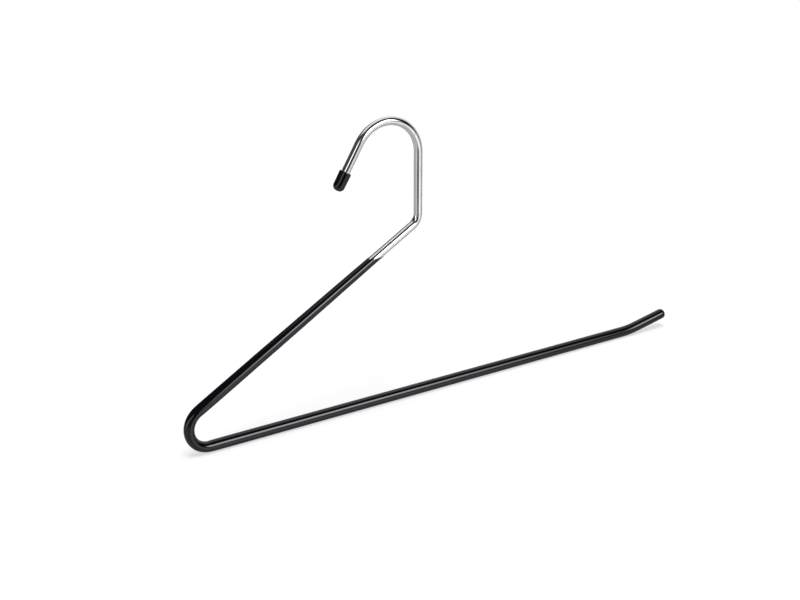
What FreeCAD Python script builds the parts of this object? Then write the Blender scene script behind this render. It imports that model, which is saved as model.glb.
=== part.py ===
import FreeCAD, Part
import math
import os
import Sketcher

# Open-ended trouser hanger: one bent wire, a dipped grip coating and a push-on cap.
# Lengths are in mm. The origin is where the inside of the hook bears on its rail.
# X runs along the trouser bar towards its open end, Y is across the wire and Z is up.

SIZES = {
    # Bent wire, whose bend radii are those of its centre line
    "wire_diameter": 5.0,
    "wire_end_chamfer": 0.5,
    "hook_inner_radius": 18.5,
    "hook_sweep_angle": 148.8,
    "hook_end_length": 26.9,
    "shank_length": 41.0,
    "shoulder_bend_radius": 8.0,
    "arm_angle": 30.1,
    "arm_drop": 106.5,
    "closed_bend_radius": 12.3,
    "bar_reach": 187.2,
    "open_end_angle": 11.0,
    "open_end_bend_radius": 60.0,
    "open_end_length": 29.4,
    # Grip coating, thin at its dip line and full at the closed bend
    "coating_wall": 0.8,
    "coating_edge": 0.15,
    "coating_end_wall": 0.9,
    "coating_nose_radius": 2.4,
    "dip_line_drop": 16.5,
    # Hook cap
    "cap_length": 11.4,
    "cap_wall": 1.0,
    "cap_end_wall": 1.8,
    "cap_draft_angle": 0.8,
    "cap_rim_chamfer": 0.25,
}

# How far up the arm the film's wall is set, as shares of its run
FILM_SHARES = (1 / 3, 2 / 3, 1)

# Edges of the centre line, in their order along the wire
HOOK_END, HOOK, SHANK, SHOULDER, ARM, CLOSED_BEND, BAR, OPEN_BEND, OPEN_END = range(9)
RIGHT_TURNS = (HOOK, SHOULDER)

# Sketcher's numbers for an element's points and for its own axes
START, END, CENTRE = range(1, 4)
ORIGIN, UPRIGHT_AXIS = range(-1, -3, -1)
LEVEL_AXIS = ORIGIN

# Places that several sketches share
SHANK_X = "(sizes.hook_inner_radius + sizes.wire_diameter / 2)"
SHOULDER_DEPTH = "(sizes.hook_inner_radius + sizes.shank_length)"
DIP_DEPTH = f"({SHOULDER_DEPTH} + sizes.dip_line_drop)"
COATED_RADIUS = "(sizes.wire_diameter / 2 + sizes.coating_wall)"


def sheet_of_sizes(doc):
    sheet = doc.addObject("Spreadsheet::Sheet", "sizes")
    for row, (name, value) in enumerate(SIZES.items(), start=1):
        sheet.set(f"A{row}", name)
        sheet.set(f"B{row}", str(value))
        sheet.setAlias(f"B{row}", name)
    doc.recompute()
    return sheet


def new_body(doc, name):
    body = doc.addObject("PartDesign::Body", name)
    body.Label = name
    return body


def sketch_on_side(body, name):
    """A sketch on the plane that the whole wire lies in."""
    sketch = body.newObject("Sketcher::SketchObject", name)
    side = [plane for plane in body.Origin.OriginFeatures if plane.Role == "XZ_Plane"][0]
    sketch.AttachmentSupport = (side, "")
    sketch.MapMode = "FlatFace"
    return sketch


def sketch_across(body, name, line, edge, along_share):
    """A sketch square to one edge of a centre line, at a share of that edge's length."""
    sketch = body.newObject("Sketcher::SketchObject", name)
    sketch.AttachmentSupport = [(line, f"Edge{edge + 1}")]
    sketch.MapMode = "NormalToEdge"
    sketch.MapPathParameter = along_share
    return sketch


def hold(sketch, name, expression, kind, *where):
    """Adds a dimension at the value that the sizes give it, and binds it to them."""
    value = sketch.evalExpression(expression)
    if kind == "Angle":
        value = math.radians(value)
    index = sketch.addConstraint(Sketcher.Constraint(kind, *where, value))
    sketch.renameConstraint(index, name)
    sketch.setExpression(f"Constraints.{name}", expression)


def tie(sketch, kind, *where):
    sketch.addConstraint(Sketcher.Constraint(kind, *where))


def circle(sketch, name, diameter):
    radius = sketch.evalExpression(diameter) / 2
    middle = FreeCAD.Vector()
    index = sketch.addGeometry(Part.Circle(middle, FreeCAD.Vector(0, 0, 1), radius))
    tie(sketch, "Coincident", index, CENTRE, ORIGIN, START)
    hold(sketch, name, diameter, "Diameter", index)


def corner_points():
    """Where the straight runs would meet if the bends were sharp, from hook to open end."""
    s = SIZES
    hook_radius = s["hook_inner_radius"] + s["wire_diameter"] / 2
    turn = math.radians(s["hook_sweep_angle"])
    middle = FreeCAD.Vector(0, -s["hook_inner_radius"])
    hook_stop = middle + FreeCAD.Vector(math.cos(turn), math.sin(turn)) * hook_radius
    back = FreeCAD.Vector(-math.sin(turn), math.cos(turn))
    hook_tip = hook_stop + back * s["hook_end_length"]
    hook_start = middle + FreeCAD.Vector(hook_radius, 0)
    shoulder = hook_start - FreeCAD.Vector(0, s["shank_length"])
    run = s["arm_drop"] / math.tan(math.radians(s["arm_angle"]))
    closed = shoulder - FreeCAD.Vector(run, s["arm_drop"])
    turn_up = FreeCAD.Vector(s["bar_reach"], closed.y)
    lean = math.radians(s["open_end_angle"])
    tip = turn_up + FreeCAD.Vector(math.cos(lean), math.sin(lean)) * s["open_end_length"]
    return middle, hook_tip, hook_stop, hook_start, shoulder, closed, turn_up, tip


def arc(middle, radius, one_end, other_end):
    """An arc that runs anticlockwise from one point to another."""
    angles = [math.atan2(point.y - middle.y, point.x - middle.x) for point in (one_end, other_end)]
    if angles[1] < angles[0]:
        angles[1] += 2 * math.pi
    return Part.ArcOfCircle(Part.Circle(middle, FreeCAD.Vector(0, 0, 1), radius), *angles)


def bend(edge, before, corner, after, radius):
    """The arc that rounds a corner, with the points where it starts and stops."""
    to_before = (before - corner).normalize()
    to_after = (after - corner).normalize()
    half = to_before.getAngle(to_after) / 2
    start = corner + to_before * (radius / math.tan(half))
    stop = corner + to_after * (radius / math.tan(half))
    middle = corner + (to_before + to_after).normalize() * (radius / math.sin(half))
    ends = (stop, start) if edge in RIGHT_TURNS else (start, stop)
    return start, arc(middle, radius, *ends), stop


def centre_line(body, past_end):
    """The wire's whole centre line, with its open end lengthened by an expression."""
    s = SIZES
    middle, hook_tip, hook_stop, hook_start, shoulder, closed, turn_up, tip = corner_points()
    hook_radius = s["hook_inner_radius"] + s["wire_diameter"] / 2
    on_shank, shoulder_arc, on_arm = bend(
        SHOULDER, hook_start, shoulder, closed, s["shoulder_bend_radius"])
    arm_foot, closed_arc, bar_start = bend(
        CLOSED_BEND, shoulder, closed, turn_up, s["closed_bend_radius"])
    bar_stop, open_arc, open_start = bend(
        OPEN_BEND, closed, turn_up, tip, s["open_end_bend_radius"])

    sketch = sketch_on_side(body, body.Name + "_centre_line")
    sketch.addGeometry([
        Part.LineSegment(hook_tip, hook_stop),
        arc(middle, hook_radius, hook_start, hook_stop),
        Part.LineSegment(hook_start, on_shank),
        shoulder_arc,
        Part.LineSegment(on_arm, arm_foot),
        closed_arc,
        Part.LineSegment(bar_start, bar_stop),
        open_arc,
        Part.LineSegment(open_start, tip),
    ])
    # Sharp corners that the sizes are measured to
    corners = [sketch.addGeometry(Part.Point(point), True) for point in (shoulder, turn_up)]
    for corner, before, after in zip(corners, (SHANK, BAR), (ARM, OPEN_END)):
        tie(sketch, "PointOnObject", corner, START, before)
        tie(sketch, "PointOnObject", corner, START, after)
    shoulder_corner, open_corner = corners

    # Each run flows into the next without a kink
    for edge in range(OPEN_END):
        tie(sketch, "Tangent", edge, last_point(edge), edge + 1, first_point(edge + 1))
    tie(sketch, "PointOnObject", HOOK, CENTRE, UPRIGHT_AXIS)
    tie(sketch, "Vertical", SHANK)
    tie(sketch, "Horizontal", BAR)

    hold(sketch, "hook_centre", "sizes.hook_inner_radius",
         "DistanceY", HOOK, CENTRE, ORIGIN, START)
    hold(sketch, "hook_radius", SHANK_X, "Radius", HOOK)
    hold(sketch, "hook_end_lean", "sizes.hook_sweep_angle - 90", "Angle", HOOK_END)
    hold(sketch, "hook_end", "sizes.hook_end_length", "Distance", HOOK_END)
    hold(sketch, "shoulder_depth", SHOULDER_DEPTH,
         "DistanceY", shoulder_corner, START, ORIGIN, START)
    hold(sketch, "shoulder_radius", "sizes.shoulder_bend_radius", "Radius", SHOULDER)
    hold(sketch, "arm_lean", "sizes.arm_angle - 180", "Angle", ARM)
    hold(sketch, "bar_depth", f"{SHOULDER_DEPTH} + sizes.arm_drop",
         "DistanceY", open_corner, START, ORIGIN, START)
    hold(sketch, "closed_radius", "sizes.closed_bend_radius", "Radius", CLOSED_BEND)
    hold(sketch, "bar_reach", "sizes.bar_reach", "DistanceX", ORIGIN, START, open_corner, START)
    hold(sketch, "open_radius", "sizes.open_end_bend_radius", "Radius", OPEN_BEND)
    hold(sketch, "open_lean", "sizes.open_end_angle", "Angle", OPEN_END)
    hold(sketch, "open_end", f"sizes.open_end_length + {past_end}",
         "Distance", open_corner, START, OPEN_END, END)
    return sketch


def first_point(edge):
    """The numbered point where an edge starts along the wire."""
    return END if edge in RIGHT_TURNS else START


def last_point(edge):
    return START if edge in RIGHT_TURNS else END


def pipe(body, name, section, line, edges):
    sweep = body.newObject("PartDesign::AdditivePipe", name)
    sweep.Profile = section
    sweep.Spine = (line, [f"Edge{edge + 1}" for edge in edges])
    section.Visibility = False
    body.Document.recompute()
    return sweep


def ring_edges(feature, centres, radius):
    """Names of the round edges of a radius about any of some centres."""
    near = SIZES["wire_diameter"] / 1000
    names = []
    for number, edge in enumerate(feature.Shape.Edges, start=1):
        if not isinstance(edge.Curve, Part.Circle) or abs(edge.Curve.Radius - radius) > near:
            continue
        if any(edge.Curve.Center.distanceToPoint(centre) < near for centre in centres):
            names.append(f"Edge{number}")
    return names


def dress(body, kind, name, feature, edges, size_property, expression):
    """A fillet or chamfer on some edges of a feature."""
    step = body.newObject(f"PartDesign::{kind}", name)
    step.Base = (feature, edges)
    step.setExpression(size_property, expression)
    body.Document.recompute()
    return step


def wire_frame(doc):
    body = new_body(doc, "wire_frame")
    line = centre_line(body, "0")
    section = sketch_across(body, "wire_section", line, HOOK_END, 0.0)
    circle(section, "wire_diameter", "sizes.wire_diameter")
    sweep = pipe(body, "bent_wire", section, line, range(HOOK_END, OPEN_END + 1))
    cut_ends = [line.Shape.Edges[HOOK_END].firstVertex(True).Point,
                line.Shape.Edges[OPEN_END].lastVertex(True).Point]
    edges = ring_edges(sweep, cut_ends, SIZES["wire_diameter"] / 2)
    dress(body, "Chamfer", "cut_ends", sweep, edges, "Size", "sizes.wire_end_chamfer")
    return body


def sketch_along(body, name, line, edge, at_end_share):
    """A sketch through one end of an edge, with its upright axis along the edge."""
    sketch = sketch_across(body, name, line, edge, at_end_share)
    sketch.AttachmentOffset = FreeCAD.Placement(
        FreeCAD.Vector(), FreeCAD.Rotation(FreeCAD.Vector(1, 0, 0), 90))
    return sketch


def outline(sketch, points):
    """Lines from point to point and back, each point held by two expressions."""
    places = [FreeCAD.Vector(sketch.evalExpression(x), sketch.evalExpression(y)) for x, y in points]
    count = len(points)
    first = sketch.GeometryCount
    for i in range(count):
        sketch.addGeometry(Part.LineSegment(places[i], places[(i + 1) % count]))
    for i in range(count):
        tie(sketch, "Coincident", first + i, END, first + (i + 1) % count, START)
    for i, (x, y) in enumerate(points):
        place(sketch, f"point_{i}", first + i, START, x, y)


def place(sketch, name, item, point, x, y):
    """Holds a point at two expressions, whichever sides of the axes it is on."""
    for axis, kind, expression in ((UPRIGHT_AXIS, "DistanceX", x), (LEVEL_AXIS, "DistanceY", y)):
        value = sketch.evalExpression(expression)
        if value == 0:
            tie(sketch, "PointOnObject", item, point, axis)
        elif value > 0:
            hold(sketch, f"{name}_{kind}", expression, kind, ORIGIN, START, item, point)
        else:
            hold(sketch, f"{name}_{kind}", f"-({expression})", kind, item, point, ORIGIN, START)


def turned(body, name, profile):
    """A solid of revolution about a profile's upright axis."""
    solid = body.newObject("PartDesign::Revolution", name)
    solid.Profile = profile
    solid.ReferenceAxis = (profile, ["V_Axis"])
    solid.Angle = 360
    profile.Visibility = False
    body.Document.recompute()
    return solid


def arm_film(body, line):
    """The film on the arm, full at the closed bend and thinning up to its dip line."""
    profile = sketch_along(body, "film_profile", line, ARM, 1.0)
    foot_to_dip = ("(sizes.arm_drop - sizes.dip_line_drop) / sin(sizes.arm_angle)"
                   " - sizes.closed_bend_radius / tan(sizes.arm_angle / 2)")
    # The level dip line crosses the arm at a slant, so the film starts above it
    run = f"({foot_to_dip} + {COATED_RADIUS} / tan(sizes.arm_angle))"
    thinning = "(sizes.coating_wall - sizes.coating_edge)"
    points = [("0", "0"), (COATED_RADIUS, "0")]
    points += [(f"{COATED_RADIUS} - {thinning} * {share ** 2}", f"{run} * {share}")
               for share in FILM_SHARES]
    points.append(("0", run))
    outline(profile, points)
    return turned(body, "arm_film", profile)


def dip_cut(body):
    """Takes off what the film has above the level line that it was dipped to."""
    sketch = sketch_on_side(body, "above_dip_line")
    width = "2 * sizes.dip_line_drop / tan(sizes.arm_angle)"
    right = sketch.evalExpression(SHANK_X)
    left = right - sketch.evalExpression(width)
    level = -sketch.evalExpression(DIP_DEPTH)
    top = -sketch.evalExpression(SHOULDER_DEPTH)
    corners = [FreeCAD.Vector(x, y) for x, y in
               ((left, level), (right, level), (right, top), (left, top))]
    sides = [Part.LineSegment(corners[i - 1], corners[i]) for i in range(len(corners))]
    sketch.addGeometry(sides)
    left_side, dip_side, right_side, top_side = range(4)
    for side in range(4):
        tie(sketch, "Coincident", side, START, (side - 1) % 4, END)
    tie(sketch, "Vertical", left_side)
    tie(sketch, "Vertical", right_side)
    tie(sketch, "Horizontal", dip_side)
    tie(sketch, "Horizontal", top_side)
    hold(sketch, "dip_depth", DIP_DEPTH, "DistanceY", dip_side, START, ORIGIN, START)
    hold(sketch, "top_depth", SHOULDER_DEPTH, "DistanceY", top_side, START, ORIGIN, START)
    hold(sketch, "right", SHANK_X, "DistanceX", ORIGIN, START, right_side, START)
    hold(sketch, "width", width, "DistanceX", dip_side, START, dip_side, END)
    cut = body.newObject("PartDesign::Pocket", "dip_line")
    cut.Profile = sketch
    cut.SideType = "Symmetric"
    cut.setExpression("Length", f"4 * {COATED_RADIUS}")
    sketch.Visibility = False
    body.Document.recompute()
    return cut


def grip_coating(doc, wire):
    body = new_body(doc, "coating_form")
    line = centre_line(body, "sizes.coating_end_wall")
    section = sketch_across(body, "coating_section", line, CLOSED_BEND, 0.0)
    circle(section, "coated_diameter", f"2 * {COATED_RADIUS}")
    sweep = pipe(body, "coated_bar", section, line, range(CLOSED_BEND, OPEN_END + 1))
    arm_film(body, line)
    dip_cut(body)
    nose = [line.Shape.Edges[OPEN_END].lastVertex(True).Point]
    edges = ring_edges(body.Tip, nose, SIZES["wire_diameter"] / 2 + SIZES["coating_wall"])
    dress(body, "Fillet", "closed_nose", body.Tip, edges, "Radius", "sizes.coating_nose_radius")
    # The coating set on the wire, so the wire itself is its bore
    coating = doc.addObject("Part::Cut", "grip_coating")
    coating.Base = body
    coating.Tool = wire
    coating.Label = "grip_coating"
    return coating


def hook_cap(doc):
    body = new_body(doc, "hook_cap")
    line = centre_line(body, "0")
    profile = sketch_along(body, "cap_profile", line, HOOK_END, 0.0)
    bore = "sizes.wire_diameter / 2"
    rim = f"({bore} + sizes.cap_wall)"
    reach = "(sizes.cap_length - sizes.cap_end_wall)"
    chamfer = "sizes.cap_rim_chamfer"
    points = [("0", "0"), (bore, "0"), (bore, f"-{reach}"), (f"{rim} - {chamfer}", f"-{reach}"),
              (rim, f"{chamfer} - {reach}")]
    places = [FreeCAD.Vector(*map(profile.evalExpression, point)) for point in points]

    # The side narrows to a round end, so a ball touches it where the two meet
    draft = math.radians(SIZES["cap_draft_angle"])
    side_foot = places[-1]
    end_wall = SIZES["cap_end_wall"]
    room = end_wall - side_foot.x * math.cos(draft) - side_foot.y * math.sin(draft)
    middle = FreeCAD.Vector(0, room / (1 - math.sin(draft)))
    ball = end_wall - middle.y
    meeting = middle + FreeCAD.Vector(math.cos(draft), math.sin(draft)) * ball
    top = FreeCAD.Vector(0, end_wall)
    places += [meeting]
    profile.addGeometry([Part.LineSegment(*pair) for pair in zip(places, places[1:])])
    side = len(places) - 2
    dome = profile.addGeometry(arc(middle, ball, meeting, top))
    closing = profile.addGeometry(Part.LineSegment(top, places[0]))
    for item in range(side):
        tie(profile, "Coincident", item, END, item + 1, START)
    tie(profile, "Tangent", side, END, dome, START)
    tie(profile, "Coincident", dome, END, closing, START)
    tie(profile, "Coincident", closing, END, 0, START)
    tie(profile, "PointOnObject", dome, CENTRE, UPRIGHT_AXIS)
    for item, point in enumerate(points):
        place(profile, f"point_{item}", item, START, *point)
    place(profile, "top", closing, START, "0", "sizes.cap_end_wall")
    hold(profile, "draft", "90 + sizes.cap_draft_angle", "Angle", side)
    turned(body, "cap_shell", profile)
    return body


def check(doc, parts):
    for item in doc.Objects:
        if "Invalid" in item.State or "Error" in item.State:
            raise RuntimeError(f"{item.Label}: {item.State}")
    for part in parts:
        if part.Shape.isNull() or not part.Shape.isValid() or len(part.Shape.Solids) != 1:
            raise RuntimeError(f"{part.Label} is not one sound solid")


def main():
    doc = FreeCAD.newDocument("trouser_hanger")
    sheet_of_sizes(doc)
    wire = wire_frame(doc)
    coating = grip_coating(doc, wire)
    cap = hook_cap(doc)
    parts = [wire, coating, cap]
    for part in parts:
        part.Placement = FreeCAD.Placement()
    doc.recompute()
    check(doc, parts)
    os.makedirs("parts", exist_ok=True)
    for part in parts:
        part.Shape.exportStep(f"parts/{part.Label}.step")
        box = part.Shape.BoundBox
        print(part.Label, round(part.Shape.Volume, 1), [round(v, 2) for v in
              (box.XMin, box.XMax, box.YMin, box.YMax, box.ZMin, box.ZMax)])


main()
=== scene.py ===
import math

import bmesh
import bpy
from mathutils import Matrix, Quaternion, Vector, noise


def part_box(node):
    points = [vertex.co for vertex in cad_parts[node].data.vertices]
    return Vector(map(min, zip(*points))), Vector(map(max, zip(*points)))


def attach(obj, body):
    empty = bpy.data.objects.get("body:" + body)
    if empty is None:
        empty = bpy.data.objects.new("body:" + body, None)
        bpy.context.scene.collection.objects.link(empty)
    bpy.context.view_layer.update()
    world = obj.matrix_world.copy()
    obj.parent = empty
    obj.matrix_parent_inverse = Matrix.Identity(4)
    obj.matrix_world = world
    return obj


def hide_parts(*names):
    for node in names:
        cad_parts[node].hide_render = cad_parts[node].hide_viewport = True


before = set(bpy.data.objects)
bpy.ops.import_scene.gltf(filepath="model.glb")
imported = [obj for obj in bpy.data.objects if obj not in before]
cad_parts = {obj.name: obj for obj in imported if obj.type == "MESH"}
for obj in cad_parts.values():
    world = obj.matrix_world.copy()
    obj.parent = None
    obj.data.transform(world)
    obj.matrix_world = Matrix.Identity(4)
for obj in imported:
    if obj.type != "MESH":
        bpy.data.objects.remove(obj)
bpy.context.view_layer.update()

# Trouser hanger: a bent chrome wire, the black grip coating it was dipped in, and a cap on its hook.
# Sizes are in millimetres, in the frame of the solids. X runs along the bar and Z is up.
MM = 0.001
TURN = 2 * math.pi
QUARTER_TURN = math.pi / 2

# Bent wire, whose bend radii are those of its centre line
WIRE_RADIUS = 2.5
WIRE_END_CHAMFER = 0.5
HOOK_INNER_RADIUS = 18.5
HOOK_SWEEP = math.radians(148.8)
HOOK_END_LENGTH = 26.9
SHANK_LENGTH = 41.0
SHOULDER_RADIUS = 8.0
ARM_ANGLE = math.radians(30.1)
ARM_DROP = 106.5
CLOSED_RADIUS = 12.3
BAR_REACH = 187.2
OPEN_END_ANGLE = math.radians(11.0)
OPEN_RADIUS = 60.0
OPEN_END_LENGTH = 29.4

# How much of its width in its own plane the wire loses where it is bent tightly
SHOULDER_FLATTENING = 0.03
CLOSED_FLATTENING = 0.05
FLATTENING_RUN_OUT = 4.0

# Grip coating, thin at its dip line and drawn a little thin round the closed bend.
# Its ripples are noise, in which the way round the wire is a ring with a share of their length as radius.
COATING_WALL = 0.8
COATING_EDGE = 0.15
COATING_END_WALL = 0.9
COATING_NOSE_RADIUS = 2.4
CLOSED_THINNING = 0.15
DIP_LINE_DROP = 16.5
DIP_EDGE_ROUND = 0.3
DIP_BLEND = 24.0
RIPPLE_DEPTH = 0.05
RIPPLE_LENGTH = 22.0
RIPPLE_RING_SHARE = 0.5

# Hook cap
CAP_LENGTH = 11.4
CAP_WALL = 1.0
CAP_END_WALL = 1.8
CAP_DRAFT = math.radians(0.8)
CAP_RIM_ROUND = 0.5
CAP_MOUTH = 0.15
CAP_NOSE_POWER = 2.3

# Fineness of the meshes
SIDES = 64
STRAIGHT_STEP = 2.0
BEND_STEP = math.radians(2.5)
ROUND_STEPS = 8
NOSE_STEPS = 16
SHARP_EDGE = math.radians(40)

# Finishes. Colours are linear light. A pattern is waves to a millimetre along the wire and across it, and
# layers of detail. Levels are where in its range a mark comes up, and relief is the height of its bumps.
STRAIGHTENED = "straight"
METAL = {"Metallic": 1.0}
BLACK_PLASTIC = {"IOR": 1.5, "Specular Tint": (0.93, 0.93, 1, 1)}

# Bright chrome, with lines from drawing the wire, smudges from hands and slightly uneven plating
CHROME = (0.80, 0.81, 0.82)
CHROME_DULLED = (0.74, 0.75, 0.77)
CHROME_ROUGH = 0.02
CHROME_RELIEF = 0.004
PLATING_PATTERN = (0.9, 0.9, 2)
DRAWN_PATTERN = (0.03, 2.2, 3)
DRAWN_ROUGH = 0.015
DRAWN_RELIEF_SHARE = 0.4
HANDLED_PATTERN = (0.06, 0.15, 4)
SMUDGE_LEVELS = (0.45, 0.75)
SMUDGE_ROUGH = 0.025

# Dipped black, with a slight peel, slow runs along the wire and a faint bloom
DIP_BLACK = (0.0015, 0.0015, 0.003)
DIP_BLOOM = (0.003, 0.003, 0.0048)
DIP_ROUGH = 0.035
DIP_RELIEF = 0.012
PEEL_PATTERN = (0.7, 0.7, 2)
PEEL_RELIEF_SHARE = 0.6
RUN_PATTERN = (0.05, 0.5, 3)
RUN_ROUGH = 0.02
BLOOM_PATTERN = (0.12, 0.12, 4)
BLOOM_LEVELS = (0.4, 0.8)
BLOOM_ROUGH = 0.025

# Moulded black, with a fine grain and rubbed patches
CAP_BLACK = (0.002, 0.0019, 0.003)
CAP_RUBBED = (0.004, 0.0039, 0.0052)
CAP_ROUGH = 0.05
CAP_RELIEF = 0.006
GRAIN_PATTERN = (6, 6, 3)
GRAIN_ROUGH = 0.03
RUBBED_PATTERN = (0.5, 0.5, 3)
RUBBED_LEVELS = (0.45, 0.7)
RUBBED_ROUGH = 0.03

# Studio: a white light from all round and a soft lamp above, on a floor that the camera sees as white.
# The hanger mirrors a dark room with a pale wall, three softboxes and the floor, which is glossy.
# Ways are given as an azimuth and an elevation in degrees.
WHITE = (1, 1, 1)
BLACK = (0, 0, 0)
LAMP_SHARE = 0.65
LAMP_SPREAD = math.radians(30)
LAMP_AZIMUTH = -25
LAMP_ELEVATION = 80
FLOOR_SIDE = 8000.0
FLOOR_GREY = 0.4
FLOOR_LIFT = 0.63
FLOOR_MIRRORED = 0.15
FLOOR_INDEX = 1.45
FLOOR_ROUGH = 0.1
SHADE_PLACE = (-250, -350, 0)
SHADE_REACH = 270.0
SHADE_DEPTH = 0.95

# Levels of the mirrored room, and the sides that its dim part and its pale wall lie toward.
# A side is a way, and the cosines of the angle from it between which the part comes up.
ROOM_DARK = 0.008
ROOM_DIM = 0.06
DIM_SIDES = ((-135, 30, -0.5, -0.2),)
WALL_PALE = 0.7
WALL_SIDES = ((100, 35, 0.35, 0.75), (190, -25, -0.4, -0.35))

# Softboxes: the point that each faces, the way to it from there, its roll in degrees, and the shares of
# its size over which it fades to its left, right, top and bottom
SOFTBOX_AIM = (40, 0, -110)
SOFTBOXES = {
    "key_softbox": {
        "aim": SOFTBOX_AIM, "azimuth": 20, "elevation": 20, "distance": 3000, "roll": 10,
        "size": (3000, 2400), "glow": 9, "fade_shares": (0.2, 0.3, 0.15, 0.75)},
    "fill_softbox": {
        "aim": SOFTBOX_AIM, "azimuth": -85, "elevation": 10, "distance": 3000, "roll": 35,
        "size": (6000, 1800), "glow": 2.6, "fade_shares": (0.1, 0.1, 0.8, 0.5)},
    "top_softbox": {
        "aim": (150, 185, -110), "azimuth": 180, "elevation": 88, "distance": 310, "roll": 15,
        "size": (740, 400), "glow": 1, "fade_shares": (0.3, 0.1, 0.35, 0.7)},
}

# Camera of the photograph. Its focal length and the photograph's width are in pixels.
PHOTO_WIDTH = 800
FOCAL_PIXELS = 1545
CAMERA_PLACE = (-446.7, -700.3, 228)
CAMERA_AIM = (8.75, 0, -106)
NEAREST_SEEN = 10.0


def smooth_step(value, low, high):
    share = min(1, max(0, (value - low) / (high - low)))
    return share * share * (3 - 2 * share)


class CentreLine:
    """The wire's centre line, as straight runs and bends in a row from the hook's cut end."""

    def __init__(self):
        hook_radius = HOOK_INNER_RADIUS + WIRE_RADIUS
        shoulder_turn = QUARTER_TURN - ARM_ANGLE
        closed_turn = math.pi - ARM_ANGLE
        shoulder_cut = SHOULDER_RADIUS * math.tan(shoulder_turn / 2)
        closed_cut = CLOSED_RADIUS * math.tan(closed_turn / 2)
        open_cut = OPEN_RADIUS * math.tan(OPEN_END_ANGLE / 2)
        arm = ARM_DROP / math.sin(ARM_ANGLE)
        bar = BAR_REACH - hook_radius + ARM_DROP / math.tan(ARM_ANGLE)
        # Each run's length, and how far it turns to the left
        runs = {
            "hook_end": (HOOK_END_LENGTH, 0),
            "hook": (hook_radius * HOOK_SWEEP, -HOOK_SWEEP),
            "shank": (SHANK_LENGTH - shoulder_cut, 0),
            "shoulder": (SHOULDER_RADIUS * shoulder_turn, -shoulder_turn),
            "arm": (arm - shoulder_cut - closed_cut, 0),
            "closed_bend": (CLOSED_RADIUS * closed_turn, closed_turn),
            "bar": (bar - closed_cut - open_cut, 0),
            "open_bend": (OPEN_RADIUS * OPEN_END_ANGLE, OPEN_END_ANGLE),
            "open_end": (OPEN_END_LENGTH - open_cut, 0),
        }
        heading = HOOK_SWEEP - QUARTER_TURN
        hook_stop = self.ahead(HOOK_SWEEP) * hook_radius
        place = hook_stop - Vector((0, 0, HOOK_INNER_RADIUS)) - self.ahead(heading) * HOOK_END_LENGTH
        along = 0
        self.starts = {}
        self.runs = []
        for name, (length, turn) in runs.items():
            self.starts[name] = along
            self.runs.append((along, length, turn, place, heading))
            along += length
            place, heading = self.step(place, heading, length, turn / length)
        self.length = along

    @staticmethod
    def ahead(heading):
        return Vector((math.cos(heading), 0, math.sin(heading)))

    def step(self, place, heading, length, bend):
        """Where a run of one bend ends, and its heading there."""
        if not bend:
            return place + self.ahead(heading) * length, heading
        middle = place + self.ahead(heading + QUARTER_TURN) / bend
        heading += bend * length
        return middle - self.ahead(heading + QUARTER_TURN) / bend, heading

    def at(self, along):
        """The point at a distance along the wire, and the way to its left there."""
        passed = [run for run in self.runs if run[0] <= along] or self.runs[:1]
        start, length, turn, place, heading = passed[-1]
        place, heading = self.step(place, heading, along - start, turn / length)
        return place, self.ahead(heading + QUARTER_TURN)

    def stations(self, first, last):
        """Distances along the wire, close together on the bends."""
        found = [first]
        for start, length, turn, _, _ in self.runs:
            step = BEND_STEP * length / abs(turn) if turn else STRAIGHT_STEP
            low, high = max(first, start), min(last, start + length)
            count = math.ceil((high - low) / step)
            found += [low + (high - low) * (i + 1) / count for i in range(count)]
        return found

    def window(self, along, run, run_out):
        """1 on a run and 0 past it, with a smooth fall of this length at both ends."""
        names = list(self.starts)
        start = self.starts[run]
        stop = self.starts[names[names.index(run) + 1]]
        rise = smooth_step(along, start - run_out / 2, start + run_out / 2)
        return rise * (1 - smooth_step(along, stop - run_out / 2, stop + run_out / 2))


LINE = CentreLine()
# How much of the straight arm is coated
FILM_RUN = (ARM_DROP - DIP_LINE_DROP) / math.sin(ARM_ANGLE) - CLOSED_RADIUS / math.tan(ARM_ANGLE / 2)


def wrap(name, rows):
    """A closed mesh round the centre line. A row gives a distance along it and a radius at an angle.

    The first and last rows are points on the line. Each corner also keeps its place on the
    straightened wire, for the patterns of the finishes.
    """
    mesh = bmesh.new()
    straight = mesh.verts.layers.float_vector.new(STRAIGHTENED)
    rings = []
    for number, row in enumerate(rows):
        count = 1 if number in (0, len(rows) - 1) else SIDES
        ring = []
        for side in range(count):
            angle = TURN * side / SIDES
            along, radius = row(angle)
            place, left = LINE.at(along)
            across = Vector((0, radius * math.sin(angle), 0)) + left * (radius * math.cos(angle))
            vertex = mesh.verts.new((place + across) * MM)
            vertex[straight] = Vector((along, radius * math.cos(angle), radius * math.sin(angle)))
            ring.append(vertex)
        rings.append(ring)
    for one, other in zip(rings, rings[1:]):
        for side in range(SIDES):
            corners = [one[side % len(one)], one[(side + 1) % SIDES % len(one)],
                       other[(side + 1) % SIDES % len(other)], other[side % len(other)]]
            mesh.faces.new(list(dict.fromkeys(corners))).smooth = True
    bmesh.ops.recalc_face_normals(mesh, faces=mesh.faces)
    data = bpy.data.meshes.new(name)
    mesh.to_mesh(data)
    mesh.free()
    data.set_sharp_from_angle(angle=SHARP_EDGE)
    piece = bpy.data.objects.new(name, data)
    bpy.context.scene.collection.objects.link(piece)
    return piece


def even(along, radius):
    """A row that is the same all round."""
    return lambda angle: (along, radius)


def bare_radius(along, angle):
    """The wire's radius, less in its own plane where a tight bend has flattened it."""
    flat = SHOULDER_FLATTENING * LINE.window(along, "shoulder", FLATTENING_RUN_OUT)
    flat += CLOSED_FLATTENING * LINE.window(along, "closed_bend", FLATTENING_RUN_OUT)
    return WIRE_RADIUS * (1 - flat * math.cos(angle) ** 2)


def wire_row(along):
    return lambda angle: (along, bare_radius(along, angle))


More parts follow.
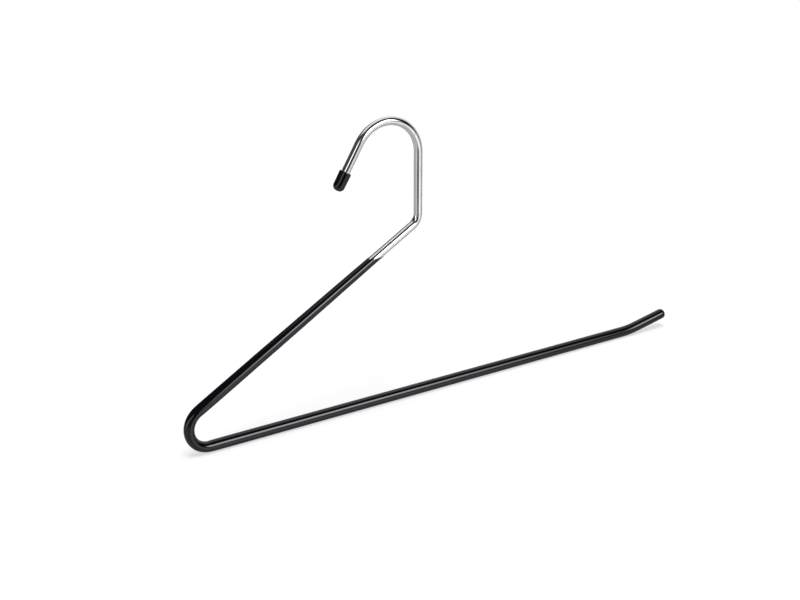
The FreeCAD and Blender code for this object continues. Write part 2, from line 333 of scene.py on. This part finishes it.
def chrome_wire():
    end = LINE.length
    face = WIRE_RADIUS - WIRE_END_CHAMFER
    rows = [even(0, 0), even(0, face)]
    rows += [wire_row(along) for along in LINE.stations(WIRE_END_CHAMFER, end - WIRE_END_CHAMFER)]
    rows += [even(end, face), even(end, 0)]
    return wrap("chrome_wire", rows)


def film_wall(along):
    """The coating's wall, which thins up the arm and round the closed bend."""
    up_arm = min(1, max(0, (LINE.starts["closed_bend"] - along) / FILM_RUN))
    wall = COATING_WALL - (COATING_WALL - COATING_EDGE) * up_arm ** 2
    return wall * (1 - CLOSED_THINNING * LINE.window(along, "closed_bend", DIP_BLEND))


def ripple(along, angle):
    """How far the cured skin stands under its full size, from 0 to 1."""
    ring = Vector((0, math.cos(angle), math.sin(angle))) * RIPPLE_RING_SHARE
    return (1 + noise.noise(Vector((along / RIPPLE_LENGTH, 0, 0)) + ring)) / 2


def coated_radius(along, angle):
    wall = film_wall(along)
    sunk = RIPPLE_DEPTH * ripple(along, angle) * wall / COATING_WALL
    return bare_radius(along, angle) + wall - sunk


def dip_edge(angle):
    """Where the level dip line crosses the arm's surface at an angle round it."""
    start = LINE.starts["arm"]
    place, left = LINE.at(start)
    level = -HOOK_INNER_RADIUS - SHANK_LENGTH - DIP_LINE_DROP
    rise = place.z - level + (WIRE_RADIUS + COATING_EDGE) * math.cos(angle) * left.z
    return start + rise / math.sin(ARM_ANGLE)


def dip_row(depth, stop):
    """A row of the coating near its dip line, which it follows less and less with depth."""
    def row(angle):
        edge = dip_edge(angle)
        along = edge + (stop - edge) * depth / DIP_BLEND
        bare = bare_radius(along, angle)
        rounding = min(1, depth / DIP_EDGE_ROUND)
        full = coated_radius(along, angle) - bare
        return along, bare + full * math.sqrt(1 - (1 - rounding) ** 2)
    return row


def skin_row(along):
    return lambda angle: (along, coated_radius(along, angle))


def nose_row(nose_start, turn):
    """A row of the coating's rounded nose, which turns from its flat tip to its side."""
    along = nose_start + COATING_NOSE_RADIUS * math.cos(turn)
    inset = COATING_NOSE_RADIUS * (1 - math.sin(turn))
    return lambda angle: (along, coated_radius(nose_start, angle) - inset)


def grip_skin():
    end = LINE.length
    tip = end + COATING_END_WALL
    nose_start = tip - COATING_NOSE_RADIUS
    blend_stop = dip_edge(QUARTER_TURN) + DIP_BLEND
    blend_steps = round(DIP_BLEND / STRAIGHT_STEP)
    below_edge = DIP_BLEND - DIP_EDGE_ROUND
    depths = [DIP_EDGE_ROUND * (i / ROUND_STEPS) ** 2 for i in range(ROUND_STEPS + 1)]
    depths += [DIP_EDGE_ROUND + below_edge * (i + 1) / blend_steps for i in range(blend_steps - 1)]
    rows = [even(tip, 0)]
    rows += [nose_row(nose_start, QUARTER_TURN * i / ROUND_STEPS) for i in range(ROUND_STEPS)]
    rows += [skin_row(along) for along in reversed(LINE.stations(blend_stop, nose_start))]
    rows += [dip_row(depth, blend_stop) for depth in reversed(depths)]
    # Its inside is the wire's own surface
    rows += [wire_row(along) for along in LINE.stations(blend_stop, end - WIRE_END_CHAMFER)]
    rows += [even(end, WIRE_RADIUS - WIRE_END_CHAMFER), even(end, 0)]
    return wrap("grip_skin", rows)


def end_cap():
    reach = CAP_LENGTH - CAP_END_WALL
    rim = WIRE_RADIUS + CAP_WALL
    rim_start = reach - CAP_RIM_ROUND
    nose = rim - CAP_LENGTH * math.tan(CAP_DRAFT)
    nose_start = nose - CAP_END_WALL

    def side(along):
        return rim - (reach - along) * math.tan(CAP_DRAFT)

    rows = [even(-CAP_END_WALL, 0)]
    for i in range(1, NOSE_STEPS):
        turn = QUARTER_TURN * i / NOSE_STEPS
        depth = math.cos(turn) ** (2 / CAP_NOSE_POWER)
        width = math.sin(turn) ** (2 / CAP_NOSE_POWER)
        rows.append(even(nose_start - nose * depth, side(nose_start) * width))
    for i in range(ROUND_STEPS):
        along = nose_start + (rim_start - nose_start) * i / ROUND_STEPS
        rows.append(even(along, side(along)))
    for i in range(ROUND_STEPS + 1):
        turn = QUARTER_TURN * i / ROUND_STEPS
        inset = CAP_RIM_ROUND * (1 - math.cos(turn))
        rows.append(even(rim_start + CAP_RIM_ROUND * math.sin(turn), side(rim_start) - inset))
    # The mouth, the bore and the seat of the wire's end
    rows += [even(reach, WIRE_RADIUS + CAP_MOUTH), even(reach - CAP_MOUTH, WIRE_RADIUS)]
    rows += [even(0, WIRE_RADIUS), even(0, 0)]
    return wrap("end_cap", rows)


class Value:
    """A shader socket in a sum: each operator adds a Math node."""

    def __init__(self, nodes, socket):
        self.nodes = nodes
        self.socket = socket

    def maths(self, operation, *values):
        return self.nodes.add("Math", {"operation": operation}, dict(enumerate(values)))

    def __add__(self, other):
        return self.maths("ADD", self, other)

    def __sub__(self, other):
        return self.maths("SUBTRACT", self, other)

    def __rsub__(self, other):
        return self.maths("SUBTRACT", other, self)

    def __mul__(self, other):
        return self.maths("MULTIPLY", self, other)

    __radd__ = __add__
    __rmul__ = __mul__

    def or_else(self, other):
        return self.maths("MAXIMUM", self, other)

    def rise(self, low, high):
        """0 below one level and 1 above the other, with a smooth step between."""
        return self.nodes.add("MapRange", {"interpolation_type": "SMOOTHSTEP"},
                              {"Value": self, "From Min": low, "From Max": high})


class Nodes:
    """The node tree of a material or the world, filled by one call a node."""

    def __init__(self, owner):
        owner.use_nodes = True
        self.tree = owner.node_tree
        self.tree.nodes.clear()

    def add(self, kind, settings=None, sockets=None, out=0):
        node = self.tree.nodes.new("ShaderNode" + kind)
        for name, value in (settings or {}).items():
            setattr(node, name, value)
        for name, value in (sockets or {}).items():
            if isinstance(value, Value):
                self.tree.links.new(value.socket, node.inputs[name])
            else:
                node.inputs[name].default_value = value
        return Value(self, node.outputs[out]) if node.outputs else None

    def mix_colours(self, share, first, second):
        factor, one, other, colour = 0, 6, 7, 2
        return self.add("Mix", {"data_type": "RGBA"},
                        {factor: share, one: (*first, 1), other: (*second, 1)}, out=colour)

    def light_path(self, output):
        return self.add("LightPath", out=output)

    def pattern(self, place, along, across, detail):
        """Noise over places on the straightened wire, scaled along it and across it."""
        spot = self.add("VectorMath", {"operation": "MULTIPLY"}, {0: place, 1: (along, across, across)})
        return self.add("TexNoise", {}, {"Vector": spot, "Scale": 1.0, "Detail": detail})

    def bump(self, height, relief):
        return self.add("Bump", {}, {"Height": height, "Distance": relief * MM, "Strength": 1.0})

    def surface(self, shader):
        self.add("OutputMaterial", {}, {"Surface": shader})

    def finish(self, colour, rough, uneven, kind):
        """The surface of a piece, of a kind that gives the sockets which are the same all over."""
        sockets = {"Base Color": colour, "Roughness": rough, "Normal": uneven, **kind}
        self.surface(self.add("BsdfPrincipled", {}, sockets))


def finish_of(name):
    """A new material, its nodes and the places on the straightened wire, in millimetres."""
    material = bpy.data.materials.new(name)
    nodes = Nodes(material)
    place = nodes.add("Attribute", {"attribute_name": STRAIGHTENED}, out="Vector")
    return material, nodes, place


def bright_chrome():
    material, nodes, place = finish_of("bright_chrome")
    plating = nodes.pattern(place, *PLATING_PATTERN)
    drawn = nodes.pattern(place, *DRAWN_PATTERN)
    smudge = nodes.pattern(place, *HANDLED_PATTERN).rise(*SMUDGE_LEVELS)
    colour = nodes.mix_colours(smudge, CHROME, CHROME_DULLED)
    rough = CHROME_ROUGH + DRAWN_ROUGH * drawn + SMUDGE_ROUGH * smudge
    uneven = nodes.bump(plating + DRAWN_RELIEF_SHARE * drawn, CHROME_RELIEF)
    nodes.finish(colour, rough, uneven, METAL)
    return material


def dipped_black():
    material, nodes, place = finish_of("dipped_black")
    peel = nodes.pattern(place, *PEEL_PATTERN)
    runs = nodes.pattern(place, *RUN_PATTERN)
    bloom = nodes.pattern(place, *BLOOM_PATTERN).rise(*BLOOM_LEVELS)
    colour = nodes.mix_colours(bloom, DIP_BLACK, DIP_BLOOM)
    rough = DIP_ROUGH + RUN_ROUGH * runs + BLOOM_ROUGH * bloom
    uneven = nodes.bump(PEEL_RELIEF_SHARE * peel + runs, DIP_RELIEF)
    nodes.finish(colour, rough, uneven, BLACK_PLASTIC)
    return material


def moulded_black():
    material, nodes, place = finish_of("moulded_black")
    grain = nodes.pattern(place, *GRAIN_PATTERN)
    rubbed = nodes.pattern(place, *RUBBED_PATTERN).rise(*RUBBED_LEVELS)
    colour = nodes.mix_colours(rubbed, CAP_BLACK, CAP_RUBBED)
    rough = CAP_ROUGH + RUBBED_ROUGH * rubbed + GRAIN_ROUGH * grain
    uneven = nodes.bump(grain, CAP_RELIEF)
    nodes.finish(colour, rough, uneven, BLACK_PLASTIC)
    return material


def place_piece(piece, node, material):
    piece.data.materials.append(material)
    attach(piece, "root")
    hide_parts(node)


def flat_panel(name, width, height):
    """A panel of the studio with a new material, and that material's nodes."""
    data = bpy.data.meshes.new(name)
    x, y = width / 2 * MM, height / 2 * MM
    data.from_pydata([(-x, -y, 0), (x, -y, 0), (x, y, 0), (-x, y, 0)], [], [(0, 1, 2, 3)])
    material = bpy.data.materials.new(name)
    data.materials.append(material)
    panel = bpy.data.objects.new(name, data)
    bpy.context.scene.collection.objects.link(panel)
    return panel, Nodes(material)


def floor():
    """A floor under the bar that the camera sees as white, apart from the hanger's shadow.

    To the hanger it is a glossy pale floor, in shade towards the camera.
    """
    panel, nodes = flat_panel("floor", FLOOR_SIDE, FLOOR_SIDE)
    panel.location.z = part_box("grip_coating")[0].z
    seen = nodes.light_path("Is Camera Ray").or_else(nodes.light_path("Is Transmission Ray"))
    mirrored = nodes.light_path("Is Glossy Ray")
    spot = nodes.add("TexCoord", out="Object")
    middle = Vector(SHADE_PLACE) * MM
    away = nodes.add("VectorMath", {"operation": "DISTANCE"}, {0: spot, 1: middle}, out="Value")
    shade = SHADE_DEPTH * mirrored * (1 - away.rise(0, SHADE_REACH * MM))
    pale = (FLOOR_GREY, FLOOR_GREY, FLOOR_GREY)
    lit = nodes.add("BsdfDiffuse", {}, {"Color": nodes.mix_colours(shade, pale, BLACK)})
    lift = nodes.add("Emission", {}, {
        "Color": nodes.mix_colours(shade, WHITE, BLACK),
        "Strength": FLOOR_LIFT * seen + FLOOR_MIRRORED * mirrored})
    matt = nodes.add("AddShader", {}, {0: lit, 1: lift})
    gloss = nodes.add("BsdfAnisotropic", {}, {"Roughness": FLOOR_ROUGH})
    glossy_share = mirrored * nodes.add("Fresnel", {}, {"IOR": FLOOR_INDEX})
    nodes.surface(nodes.add("MixShader", {}, {0: glossy_share, 1: matt, 2: gloss}))


def toward(azimuth, elevation):
    """The way from the hanger to something round it, with azimuth 0 in front and 90 at its open end."""
    turn, lift = math.radians(azimuth), math.radians(elevation)
    return Vector((math.sin(turn) * math.cos(lift), -math.cos(turn) * math.cos(lift), math.sin(lift)))


def overhead_lamp():
    """A soft lamp far off, which gives the floor its share of the light and isn't mirrored."""
    way = toward(LAMP_AZIMUTH, LAMP_ELEVATION)
    data = bpy.data.lights.new("overhead_lamp", "SUN")
    data.energy = math.pi * LAMP_SHARE / way.z
    data.angle = LAMP_SPREAD
    lamp = bpy.data.objects.new("overhead_lamp", data)
    lamp.rotation_euler = way.to_track_quat("Z", "Y").to_euler()
    lamp.visible_glossy = False
    bpy.context.scene.collection.objects.link(lamp)


def softbox(name, aim, azimuth, elevation, distance, roll, size, glow, fade_shares):
    """A bright panel with faded sides, which only the glossy surfaces see."""
    left, right, top, bottom = fade_shares
    way = toward(azimuth, elevation)
    panel, nodes = flat_panel(name, *size)
    panel.location = (Vector(aim) + way * distance) * MM
    turned = way.to_track_quat("Z", "Y") @ Quaternion((0, 0, 1), math.radians(roll))
    panel.rotation_euler = turned.to_euler()
    panel.visible_camera = False
    panel.visible_diffuse = False
    panel.visible_shadow = False
    spot = nodes.add("TexCoord", out="Generated")
    across = nodes.add("SeparateXYZ", {}, {"Vector": spot}, out="X")
    up = nodes.add("SeparateXYZ", {}, {"Vector": spot}, out="Y")
    bright = across.rise(0, left) * (1 - across.rise(1 - right, 1))
    bright = bright * up.rise(0, bottom) * (1 - up.rise(1 - top, 1))
    clear = nodes.add("BsdfTransparent")
    lit = nodes.add("Emission", {}, {"Strength": glow})
    nodes.surface(nodes.add("MixShader", {}, {0: bright, 1: clear, 2: lit}))


def surroundings():
    """White all round, but to what mirrors it a dim room with a pale wall at the hanger's open end.

    The room is darkest at the front, on the same side.
    """
    world = bpy.data.worlds.new("studio")
    nodes = Nodes(world)
    way = nodes.add("TexCoord", out="Generated")
    room = ROOM_DARK
    for level, sides in ((ROOM_DIM, DIM_SIDES), (WALL_PALE, WALL_SIDES)):
        share = 1.0
        for azimuth, elevation, low, high in sides:
            facing = nodes.add("VectorMath", {"operation": "DOT_PRODUCT"},
                               {0: way, 1: toward(azimuth, elevation)}, out="Value")
            share = share * facing.rise(low, high)
        room = room + (level - room) * share
    all_round = 1 - LAMP_SHARE
    strength = all_round + LAMP_SHARE * nodes.light_path("Is Camera Ray")
    strength = strength + nodes.light_path("Is Glossy Ray") * (room - all_round)
    background = nodes.add("Background", {}, {"Color": (*WHITE, 1), "Strength": strength})
    nodes.add("OutputWorld", {}, {"Surface": background})
    bpy.context.scene.world = world


def camera():
    data = bpy.data.cameras.new("camera")
    data.lens = data.sensor_width * FOCAL_PIXELS / PHOTO_WIDTH
    data.clip_start = NEAREST_SEEN * MM
    item = bpy.data.objects.new("camera", data)
    place = Vector(CAMERA_PLACE) * MM
    item.location = place
    item.rotation_euler = (Vector(CAMERA_AIM) * MM - place).to_track_quat("-Z", "Y").to_euler()
    bpy.context.scene.collection.objects.link(item)
    bpy.context.scene.camera = item


camera()
surroundings()
floor()
overhead_lamp()
for name, plan in SOFTBOXES.items():
    softbox(name, **plan)
place_piece(chrome_wire(), "wire_frame", bright_chrome())
place_piece(grip_skin(), "grip_coating", dipped_black())
place_piece(end_cap(), "hook_cap", moulded_black())
bpy.context.scene.view_settings.view_transform = "Standard"
